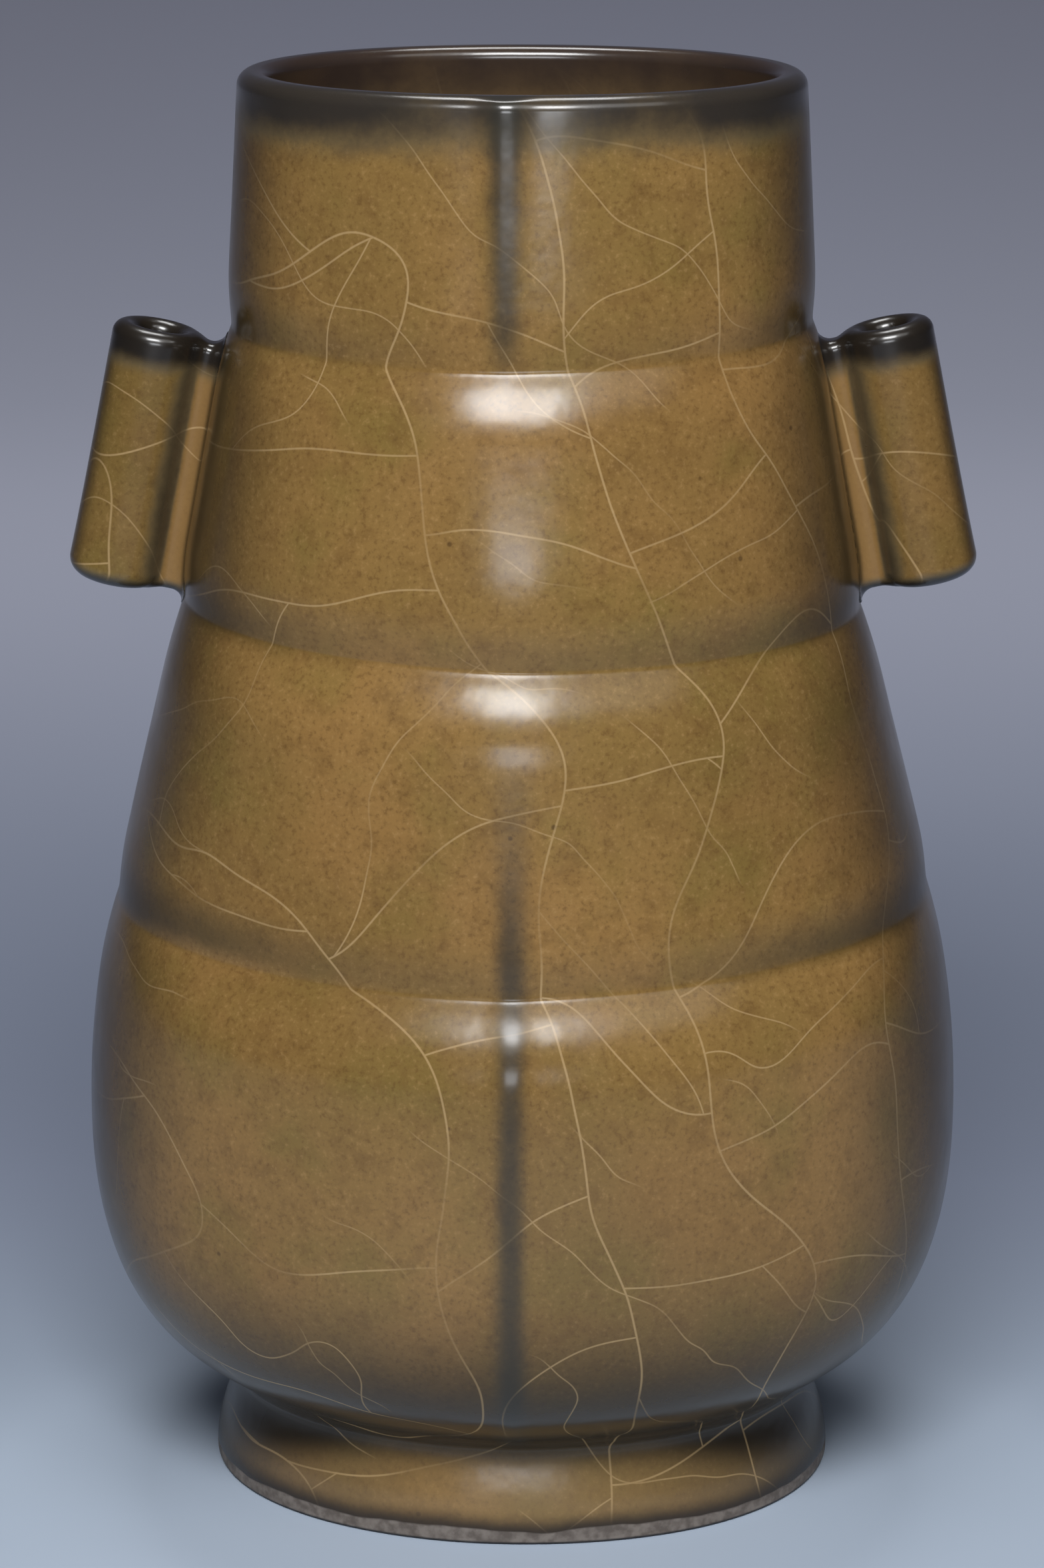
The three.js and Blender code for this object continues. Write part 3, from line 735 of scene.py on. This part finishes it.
def glaze_material(name, bare_below=None, lug=False):
    """Olive-brown crackle glaze. It thins to near black on edges and ribs, and pools in grooves."""
    material = bpy.data.materials.new(name)
    material.use_nodes = True
    material.node_tree.nodes.clear()
    glaze = Glaze(material.node_tree, lug)
    glaze.lay_clouds()
    glaze.lay_pools()
    if bare_below is not None:
        glaze.lay("foot", 0.36)
        # The foot darkens towards its narrow ends: dark glaze and painted shade.
        glaze.lay("foot_side_glaze_and_shade", glaze.smooth(glaze.aside, *FOOT_SHADE_SIDES) * 0.52)
    glaze.lay_under_belly()
    glaze.lay_crackle()
    glaze.lay_turned_side_shade()
    worn = glaze.lay_thin()
    bump = glaze.add("ShaderNodeBump", {
        "Strength": 0.14, "Distance": 0.0004, "Height": glaze.noise(240.0),
    })
    rough = glaze.smooth(glaze.noise(130.0), 0.2, 0.8) * 0.08 + 0.175
    rough = rough + worn * (0.07 if lug else 0.03)
    coat = worn if lug else worn * glaze.smooth(glaze.height, *GLOSSY_LIP)
    if bare_below is not None:
        bare = glaze.lay_bare_edge(bare_below)
        rough = rough * (1.0 - bare) + bare * 0.6
    shader = glaze.add("ShaderNodeBsdfPrincipled", {
        "Base Color": glaze.colour, "Roughness": rough, "Normal": bump, "IOR": 1.5,
        "Specular IOR Level": 0.42, "Coat Weight": coat * 0.8, "Coat Roughness": 0.16,
    })
    glaze.add("ShaderNodeOutputMaterial", {"Surface": shader})
    return material


WALL_GLAZE = glaze_material("wall_glaze")

# Spacing of the rows: close at the joints and on the crowns, and wider between.
JOINT_ROW = 0.00025
CROWN_ROW = 0.0004
OPEN_ROW = 0.0008
BELLY_ROW = 0.0006
INNER_ROW = 0.002
FINE_INNER_ROW = 0.0015

# The spacing changes at these distances below and above a joint.
CROWN_START = 0.008
CROWN_END = 0.002
COVE_END = 0.007


def section(name, low, high, above_low, inner_row):
    """A section of the wall between two joints. Above its lower joint its rows open out."""
    outside = levels((low, JOINT_ROW), above_low, (high - CROWN_START, CROWN_ROW),
                     (high - CROWN_END, JOINT_ROW), (high, JOINT_ROW))
    inside = levels((low, inner_row), (high, inner_row))[::-1]
    return pressed_ring(name, joined_rows(outer_rows(outside), inner_rows(inside)), WALL_GLAZE)


belly = section("belly_wall", FOOT_TOP, WAIST_JOINT, (FOOT_TOP + 0.004, BELLY_ROW),
                FINE_INNER_ROW)
waist = section("waist_wall", WAIST_JOINT, SHOULDER_JOINT, (WAIST_JOINT + COVE_END, OPEN_ROW),
                INNER_ROW)
shoulder = section("shoulder_wall", SHOULDER_JOINT, NECK_JOINT,
                   (SHOULDER_JOINT + COVE_END, OPEN_ROW), INNER_ROW)

lip_turn = np.linspace(0, math.pi / 2, 14)
inner_turn = np.linspace(math.pi / 2, 0, 10)[1:]
lip_start = RIM - LIP_OUTER_RADIUS
neck = pressed_ring("neck_wall", joined_rows(
    outer_rows(levels((NECK_JOINT, JOINT_ROW), (NECK_JOINT + COVE_END, OPEN_ROW),
                      (lip_start, OPEN_ROW))[:-1]),
    outer_rows(RIM - LIP_OUTER_RADIUS * (1 - np.sin(lip_turn))),
    inner_rows(RIM - LIP_INNER_RADIUS * (1 - np.sin(inner_turn)),
               LIP_INNER_RADIUS * (1 - np.cos(inner_turn))),
    inner_rows(levels((NECK_JOINT, FINE_INNER_ROW),
                      (RIM - LIP_INNER_RADIUS, FINE_INNER_ROW))[:-1][::-1]),
), WALL_GLAZE)

# Foot: a splayed ring under the belly, glazed down to a bare edge that the vase stands on,
# and the floor disc that closes the vase, let into the ring from above.

BARE_EDGE = 0.0019
FOOT_EDGE_RADIUS = 0.0006
FOOT_RING_WIDTH = 0.0052
FOOT_INNER_CHAMFER = 0.0005
RECESS_TAPER = 0.0016
LEDGE_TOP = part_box("floor_disc")[0].z
LEDGE_THICKNESS = 0.002
LEDGE_WIDTH = 0.0026
DISC_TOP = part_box("floor_disc")[1].z
FLARE_ROW = 0.0005
SEAT = [half - WALL_THICKNESS[0] for half in BELLY_BASE]
UNDERSIDE = LEDGE_TOP - LEDGE_THICKNESS


def plain_rows(halves, z, inset=0.0, **carried):
    """Rows at one oval, let in by an inset, at one or more levels."""
    z = np.atleast_1d(np.array(z, float))
    return rows_at(halves[0] - inset, halves[1] - inset, z, **carried)


flare_levels = levels((FLARE_START, FLARE_ROW), (FOOT_TOP, FLARE_ROW))
flare_share = (flare_levels - FLARE_START) / (FOOT_TOP - FLARE_START)
edge_turn = np.linspace(-math.pi / 2, 0, 7)
edge_inset = FOOT_EDGE_RADIUS * (1 - np.cos(edge_turn))
edge_level = FOOT_EDGE_RADIUS * (1 + np.sin(edge_turn))
FOOT_GLAZE = glaze_material("foot_glaze", BARE_EDGE)
foot = pressed_ring("foot_ring_body", joined_rows(
    plain_rows(FOOT, 0.0, FOOT_RING_WIDTH - FOOT_INNER_CHAMFER),
    plain_rows(FOOT, edge_level, edge_inset),
    plain_rows([outer_half(0, flare_levels), outer_half(1, flare_levels)], flare_levels,
               keel=KEEL_HEIGHTS[0] * flare_share),
    plain_rows(SEAT, [FOOT_TOP, LEDGE_TOP]),
    plain_rows(SEAT, [LEDGE_TOP, UNDERSIDE], LEDGE_WIDTH),
    plain_rows(FOOT, UNDERSIDE, FOOT_RING_WIDTH + RECESS_TAPER),
    plain_rows(FOOT, FOOT_INNER_CHAMFER, FOOT_RING_WIDTH),
), FOOT_GLAZE)

SLIP = 0.0003
low_edge, high_edge = inner_rows(np.array([FOOT_TOP, DISC_TOP]))["place"][:, :2]
floor_disc = pressed_ring("floor_disc_body", joined_rows(
    plain_rows((0.0, 0.0), LEDGE_TOP, inside=1.0),
    plain_rows(low_edge, [LEDGE_TOP, FOOT_TOP], SLIP, inside=1.0),
    plain_rows(high_edge, DISC_TOP, SLIP, inside=1.0),
    plain_rows((0.0, 0.0), DISC_TOP, inside=1.0),
), WALL_GLAZE)

JOINT_TOLERANCE = 0.0026
LEVEL_FACE = 0.99


def values_of(items, key, width=1, kind=float):
    """One property of all vertices, faces or corners of a mesh, as an array."""
    found = np.empty(len(items) * width, kind)
    items.foreach_get(key, found)
    return found.reshape(-1, width) if width > 1 else found


def share_normals(pieces):
    """Smooth normals that run on across the joints. The level faces of the joints stay flat."""
    everywhere, weighted, kept = [], [], []
    for piece in pieces:
        mesh = piece.data
        points = values_of(mesh.vertices, "co", 3)
        corners = values_of(mesh.loops, "vertex_index", kind=int)
        owner = np.zeros(len(mesh.loops), int)
        owner[values_of(mesh.polygons, "loop_start", kind=int)[1:]] = 1
        owner = np.cumsum(owner)
        flat = values_of(mesh.polygons, "normal", 3)
        area = values_of(mesh.polygons, "area")
        centre = values_of(mesh.polygons, "center", 3)
        at_joint = np.abs(centre[:, 2, None] - np.array([FOOT_TOP, *BANDS])) < JOINT_TOLERANCE
        joint_face = at_joint.any(1) & (np.abs(flat[:, 2]) > LEVEL_FACE)
        smooth = ~joint_face[owner]
        everywhere.append(points[corners][smooth])
        weighted.append((flat * area[:, None])[owner][smooth])
        kept.append((mesh, flat[owner], smooth))
    # Corners at one spot, to a micrometre, share a normal.
    keys = np.round(np.concatenate(everywhere) * 1e6).astype(np.int64)
    _, index = np.unique(keys, axis=0, return_inverse=True)
    index = index.ravel()
    total = np.zeros((index.max() + 1, 3))
    np.add.at(total, index, np.concatenate(weighted))
    total /= np.linalg.norm(total, axis=1)[:, None] + 1e-30
    start = 0
    for mesh, normals, smooth in kept:
        count = int(smooth.sum())
        normals = normals.copy()
        normals[smooth] = total[index[start:start + count]]
        start += count
        mesh.normals_split_custom_set([tuple(v) for v in normals])


share_normals([neck, shoulder, waist, belly, foot])

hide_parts("neck", "neck_rib_front", "neck_rib_back")
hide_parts("shoulder")
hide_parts("waist", "waist_rib_front", "waist_rib_back")
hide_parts("belly", "belly_rib_front", "belly_rib_back")
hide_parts("foot_ring")
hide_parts("floor_disc")
for part, finish in ((neck, "wall_glaze"), (shoulder, "wall_glaze"), (waist, "wall_glaze"),
                     (belly, "wall_glaze"), (foot, "foot_glaze"), (floor_disc, "inner_glaze")):
    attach(part, "root")

# Lugs: each is a tube rolled round a dowel, set off from the shoulder on a web of clay.
# The glaze fills the corners beside the web and runs thin on the rims of the tube.

TUBE_RADIUS = 0.0057
TUBE_FLARE = 0.00035
TUBE_BORE = 0.0026
TUBE_LENGTH = 0.0327
TUBE_TOP_ROUNDING = 0.0016
TUBE_BOTTOM_ROUNDING = 0.0024
BORE_ROUNDING = 0.0016
STAND_OFF = 0.0022
LUG_SPLAY = math.radians(0.8)
LUG_TOP = NECK_JOINT - 0.0004
LUG_UNEVENNESS = 0.0004
WEB_THICKNESS = 0.0040
WEB_ROUNDING = 0.0012
WEB_TOP_INSET = 0.0008
WEB_BOTTOM_INSET = 0.0004
FILLET_AT_BODY = 0.0016
FILLET_AT_TUBE = 0.0010
THIN_AT_TOP = (0.0014, 0.0066)
THIN_AT_BOTTOM = (TUBE_LENGTH - 0.0024, TUBE_LENGTH - 0.0002)
THIN_AT_BORE = (TUBE_BORE + 0.0004, TUBE_BORE + 0.0016)
POOL_EDGE = 0.0003
SKIN = 0.0005
CELL = 0.00032
LUG_SPACE_LOW = np.array([0.0335, -0.0095, SHOULDER_JOINT - 0.001])
LUG_SPACE_HIGH = np.array([0.0580, 0.0095, NECK_JOINT + 0.003])
SLOPE_STEP = 2e-6
LEAST_SLOPE = 0.05
LONGEST_MOVE = 0.25 * CELL
MOVES = 3

shoulder_lean = math.atan2(SHOULDER_BASE[0] - NECK_BASE[0], NECK_JOINT - SHOULDER_JOINT)
lug_lean = shoulder_lean + LUG_SPLAY
lug_reach = smooth_half(0, LUG_TOP) + (STAND_OFF + TUBE_RADIUS) / math.cos(shoulder_lean)


def round_both(a, b, radius):
    """Where two solids overlap, with the outer corner rounded."""
    corner = np.hypot(np.maximum(a + radius, 0), np.maximum(b + radius, 0))
    return np.minimum(np.maximum(a, b), -radius) + corner


def round_either(a, b, radius):
    """Two solids joined, with a fillet in the corner."""
    corner = np.hypot(np.maximum(radius - a, 0), np.maximum(radius - b, 0))
    return np.maximum(np.minimum(a, b), radius) - corner


def wall_distance(p):
    """About how far a point lies outside the wall."""
    z = p[..., 2]
    keel = keel_height(z)
    spread = np.exp(-(np.hypot(p[..., 0], KEEL_ROUNDING) - KEEL_ROUNDING) / KEEL_SPREAD)
    half_x = outer_half(0, z)
    half_y = (outer_half(1, z) + keel * spread) * (1 + SQUARENESS)
    ratio = np.hypot(p[..., 0] / half_x, p[..., 1] / half_y)
    slope = np.hypot(p[..., 0] / half_x**2, p[..., 1] / half_y**2)
    return (ratio - 1) * ratio / np.maximum(slope, 1e-9)


def lug_coordinates(p, rise):
    """Distance from the tube's axis, the way along it from its top, and the side reach."""
    x = p[..., 0] - lug_reach
    z = p[..., 2] - (LUG_TOP + rise)
    out = x * math.cos(lug_lean) + z * math.sin(lug_lean)
    along = -(z * math.cos(lug_lean) - x * math.sin(lug_lean))
    return np.hypot(out, p[..., 1]), along, out


def lug_field(p, rise):
    """Below 0 inside the lug: the tube and web, filleted together and on to the wall."""
    radius, along, out = lug_coordinates(p, rise)
    y = np.abs(p[..., 1])
    flare = TUBE_FLARE * np.clip(along / TUBE_LENGTH, 0, 1) ** 3
    side = radius - TUBE_RADIUS - flare
    tube = round_both(round_both(side, -along, TUBE_TOP_ROUNDING),
                      along - TUBE_LENGTH, TUBE_BOTTOM_ROUNDING)
    web = round_both(y - WEB_THICKNESS / 2, WEB_TOP_INSET - along, WEB_ROUNDING)
    web = round_both(web, along - (TUBE_LENGTH - WEB_BOTTOM_INSET), WEB_ROUNDING)
    web = np.maximum(web, out)
    lug = round_either(tube, web, FILLET_AT_TUBE)
    lug = round_both(lug, TUBE_BORE - radius, BORE_ROUNDING)
    wall = wall_distance(p)
    joined = round_either(lug, wall, FILLET_AT_BODY)
    return np.maximum(np.maximum(joined, -(wall + SKIN)), lug - FILLET_AT_BODY)


def surface_mesh(field, low, high):
    """Points and quads of the surface where a field crosses 0, one point in each crossed cell."""
    count = np.ceil((high - low) / CELL).astype(int) + 1
    axes = [low[i] + CELL * np.arange(count[i]) for i in range(3)]
    grid = np.stack(np.meshgrid(*axes, indexing="ij"), -1)
    value = field(grid)
    inside = value < 0
    cells = count - 1
    total = np.zeros((*cells, 3))
    hits = np.zeros(cells)
    corners = [np.array([i, j, k]) for i in (0, 1) for j in (0, 1) for k in (0, 1)]

    def part(array, offset):
        return array[tuple(slice(o, o + c) for o, c in zip(offset, cells))]

    # A cell's point is the mean of the spots where its edges cross the surface.
    for a in corners:
        for axis in range(3):
            if a[axis] == 1:
                continue
            b = a.copy()
            b[axis] = 1
            va, vb = part(value, a), part(value, b)
            crossed = (va < 0) != (vb < 0)
            share = np.where(crossed, va / np.where(crossed, va - vb, 1), 0)
            spot = np.zeros((*cells, 3)) + a
            spot[..., axis] += share
            total += np.where(crossed[..., None], spot, 0)
            hits += crossed
    used = hits > 0
    number = -np.ones(cells, int)
    number[used] = np.arange(used.sum())
    index = np.stack(np.nonzero(used), -1)
    points = low + CELL * (index + total[used] / hits[used][:, None])
    # Each crossed edge of the grid gives a quad between the four cells round it.
    quads = []
    for axis in range(3):
        u, v = [i for i in range(3) if i != axis]
        first = [slice(1, c) for c in cells]
        first[axis] = slice(0, cells[axis])
        start = inside[tuple(first)]
        ahead = list(first)
        ahead[axis] = slice(1, cells[axis] + 1)
        end = inside[tuple(ahead)]
        where = np.stack(np.nonzero(start != end), -1)
        leaving = start[tuple(where.T)]
        base = where.copy()
        base[:, u] += 1
        base[:, v] += 1
        around = []
        for du, dv in ((-1, -1), (0, -1), (0, 0), (-1, 0)):
            cell = base.copy()
            cell[:, u] += du
            cell[:, v] += dv
            around.append(number[tuple(cell.T)])
        quad = np.stack(around, -1)
        turned = leaving if axis != 1 else ~leaving
        quad[~turned] = quad[~turned][:, ::-1]
        quads.append(quad)
    return points, np.concatenate(quads)


def slope_of(field, points):
    """How steeply a field climbs along x, y and z."""
    grad = np.empty_like(points)
    for axis in range(3):
        shift = np.zeros(3)
        shift[axis] = SLOPE_STEP
        grad[:, axis] = (field(points + shift) - field(points - shift)) / (2 * SLOPE_STEP)
    return grad


def lug_glaze_masks(p, rise):
    """Where the glaze runs thin, where it pools against the wall, and the pinkish web between."""
    radius, along, out = lug_coordinates(p, rise)
    inward = -out / TUBE_RADIUS
    top = 1 - fade(along, *THIN_AT_TOP)
    bottom = fade(along, *THIN_AT_BOTTOM) * 0.9
    bore = 1 - fade(radius, *THIN_AT_BORE)
    ridge = fade(inward, 0.35, 0.85) * (1 - fade(inward, 0.95, 1.06)) * 0.5
    thin = np.maximum.reduce([top, bottom, bore, ridge])
    pool = 1 - fade(wall_distance(p), 0.0, POOL_EDGE)
    bloom = fade(inward, 0.9, 1.1) * (1 - pool)
    return {"thin": thin, "pool": pool, "bloom": bloom}


LUG_GLAZE = glaze_material("lug_glaze", lug=True)


def lug(name, side):
    """A lug as a plain mesh, drawn closer to its true surface, then turned to its side."""
    rise = side * LUG_UNEVENNESS

    def field(p):
        return lug_field(p, rise)

    points, quads = surface_mesh(field, LUG_SPACE_LOW, LUG_SPACE_HIGH)
    for _ in range(MOVES):
        slope = slope_of(field, points)
        steepness = np.maximum((slope**2).sum(1), LEAST_SLOPE)
        move = -(field(points) / steepness)[:, None] * slope
        length = np.linalg.norm(move, axis=1)[:, None]
        points = points + move * np.minimum(1, LONGEST_MOVE / np.maximum(length, 1e-12))
    normals = slope_of(field, points)
    normals /= np.linalg.norm(normals, axis=1)[:, None] + 1e-30
    masks = lug_glaze_masks(points, rise)
    turn = np.array([side, side, 1.0])
    mesh = bpy.data.meshes.new(name)
    mesh.from_pydata((points * turn).tolist(), [], quads.tolist())
    mesh.shade_smooth()
    for key, values in masks.items():
        mesh.attributes.new(key, "FLOAT", "POINT").data.foreach_set("value", values)
    mesh.normals_split_custom_set_from_vertices((normals * turn).tolist())
    mesh.materials.append(LUG_GLAZE)
    piece = bpy.data.objects.new(name, mesh)
    bpy.context.scene.collection.objects.link(piece)
    return piece


for side_name, side in (("right", 1), ("left", -1)):
    made = lug(side_name + "_lug", side)
    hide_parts(side_name + "_lug_tube", side_name + "_lug_web")
    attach(made, "root")

# Studio: pale blue-grey paper that sweeps up behind the vase. A soft light hangs high in front,
# with a wide dim one beside it, another hangs overhead and a little behind, and a low wide one
# fills from the front. The camera looks down on the vase from a little above.

CAMERA_DISTANCE = 0.54633
CAMERA_HEIGHT = 0.24769
CAMERA_PITCH = math.radians(16.09)
CAMERA_SIDE = math.radians(1.7)
CAMERA_LENS = 103.33
SENSOR_WIDTH = 36.0
PAPER_FRONT = -3.0
PAPER_HALF_WIDTH = 4.0
PAPER_TOP = 3.2
SWEEP_START = 0.7
SWEEP_RADIUS = 1.6

camera_data = bpy.data.cameras.new("camera")
camera_data.lens = CAMERA_LENS
camera_data.sensor_width = SENSOR_WIDTH
camera_data.clip_start = 0.01
camera = bpy.data.objects.new("camera", camera_data)
camera.location = (CAMERA_DISTANCE * math.sin(CAMERA_SIDE),
                   -CAMERA_DISTANCE * math.cos(CAMERA_SIDE), CAMERA_HEIGHT)
camera.rotation_euler = (math.pi / 2 - CAMERA_PITCH, 0, CAMERA_SIDE)
bpy.context.scene.collection.objects.link(camera)
bpy.context.scene.camera = camera


def sweep_mesh():
    """A floor that runs back and curves up into a wall."""
    profile = [(PAPER_FRONT, 0.0), (SWEEP_START, 0.0)]
    for turn in np.linspace(0, math.pi / 2, 40)[1:]:
        profile.append((SWEEP_START + SWEEP_RADIUS * math.sin(turn),
                        SWEEP_RADIUS * (1 - math.cos(turn))))
    profile.append((SWEEP_START + SWEEP_RADIUS, PAPER_TOP))
    points, faces = [], []
    for x in (-PAPER_HALF_WIDTH, PAPER_HALF_WIDTH):
        points.extend((x, y, z) for y, z in profile)
    half = len(profile)
    for i in range(half - 1):
        faces.append((i, half + i, half + i + 1, i + 1))
    mesh = bpy.data.meshes.new("studio_sweep")
    mesh.from_pydata(points, [], faces)
    mesh.shade_smooth()
    return mesh


sweep = bpy.data.objects.new("studio_sweep", sweep_mesh())
bpy.context.scene.collection.objects.link(sweep)

# The paper before the vase, then its tones further back with the depths that they fade in over, the
# first of them a painted shadow just behind the vase, then a painted pool of light before the vase
# and the dark front.
PAPER = srgb(160, 173, 189)
PAPER_BACK = [
    # A painted shadow of the vase, just behind it.
    (srgb(130, 138, 157), (-0.035, 0.11)),
    (srgb(198, 202, 221), (0.15, 0.6)),
    (srgb(175, 177, 197), (0.7, 1.5)),
]
PAINTED_LIGHT_PAPER = srgb(190, 204, 222)
PAINTED_LIGHT_SIDES = (0.11, 0.03)
PAINTED_LIGHT_DEPTHS = (0.03, -0.03)
DARK_PAPER = srgb(92, 96, 106)
DARK_DEPTHS = (-0.12, -0.5)


def paper_material():
    """Seamless paper: pale with a painted pool of light before the vase, darker with a painted
    shadow just behind it, and pale far behind.
    """
    material = bpy.data.materials.new("studio_paper")
    material.use_nodes = True
    material.node_tree.nodes.clear()
    n = Nodes(material.node_tree)
    place = n.add("ShaderNodeTexCoord", output=3)
    across, depth, _ = n.split(place)
    colour = PAPER
    for tone, depths in PAPER_BACK:
        colour = n.blend(n.smooth(depth, *depths), colour, tone)
    # A painted pool of light on the paper before the vase.
    painted_light = n.smooth(n.math("ABSOLUTE", across), *PAINTED_LIGHT_SIDES) * n.smooth(depth, *PAINTED_LIGHT_DEPTHS)
    colour = n.blend(painted_light, colour, PAINTED_LIGHT_PAPER)
    colour = n.blend(n.smooth(depth, *DARK_DEPTHS), colour, DARK_PAPER)
    shader = n.add("ShaderNodeBsdfPrincipled", {
        "Base Color": colour, "Roughness": 0.9, "Specular IOR Level": 0.1,
    })
    n.add("ShaderNodeOutputMaterial", {"Surface": shader})
    return material


sweep.data.materials.append(paper_material())


def softbox(name, place, aim, size, power, colour):
    """A soft rectangular light, turned to what it lights."""
    data = bpy.data.lights.new(name, "AREA")
    data.shape = "RECTANGLE"
    data.size, data.size_y = size
    data.energy = power
    data.color = colour
    light = bpy.data.objects.new(name, data)
    light.location = place
    direction = Vector(aim) - Vector(place)
    light.rotation_euler = direction.to_track_quat("-Z", "Y").to_euler()
    bpy.context.scene.collection.objects.link(light)


softbox("key", place=(-0.03, -0.700, 0.762), aim=(0, 0, 0.12), size=(0.46, 0.23),
        power=7.2, colour=(0.985, 0.99, 1.0))
softbox("key_wide", place=(0.25, -0.68, 0.87), aim=(0, 0, 0.1), size=(0.9, 0.4),
        power=1.6, colour=(1.0, 0.99, 0.97))
softbox("overhead", place=(-0.02, 0.26, 1.14), aim=(0, 0, 0.1), size=(0.46, 0.32),
        power=3.9, colour=(1.0, 1.0, 1.0))
softbox("front_fill", place=(-0.02, -1.75, 0.37), aim=(0, 0, 0.12), size=(0.75, 0.38),
        power=6.6, colour=(0.92, 0.95, 1.0))

world = bpy.data.worlds.new("studio")
world.use_nodes = True
background = world.node_tree.nodes["Background"]
background.inputs["Color"].default_value = (0.022, 0.0235, 0.027, 1.0)
background.inputs["Strength"].default_value = 1.0
bpy.context.scene.world = world
bpy.context.scene.view_settings.view_transform = "Standard"
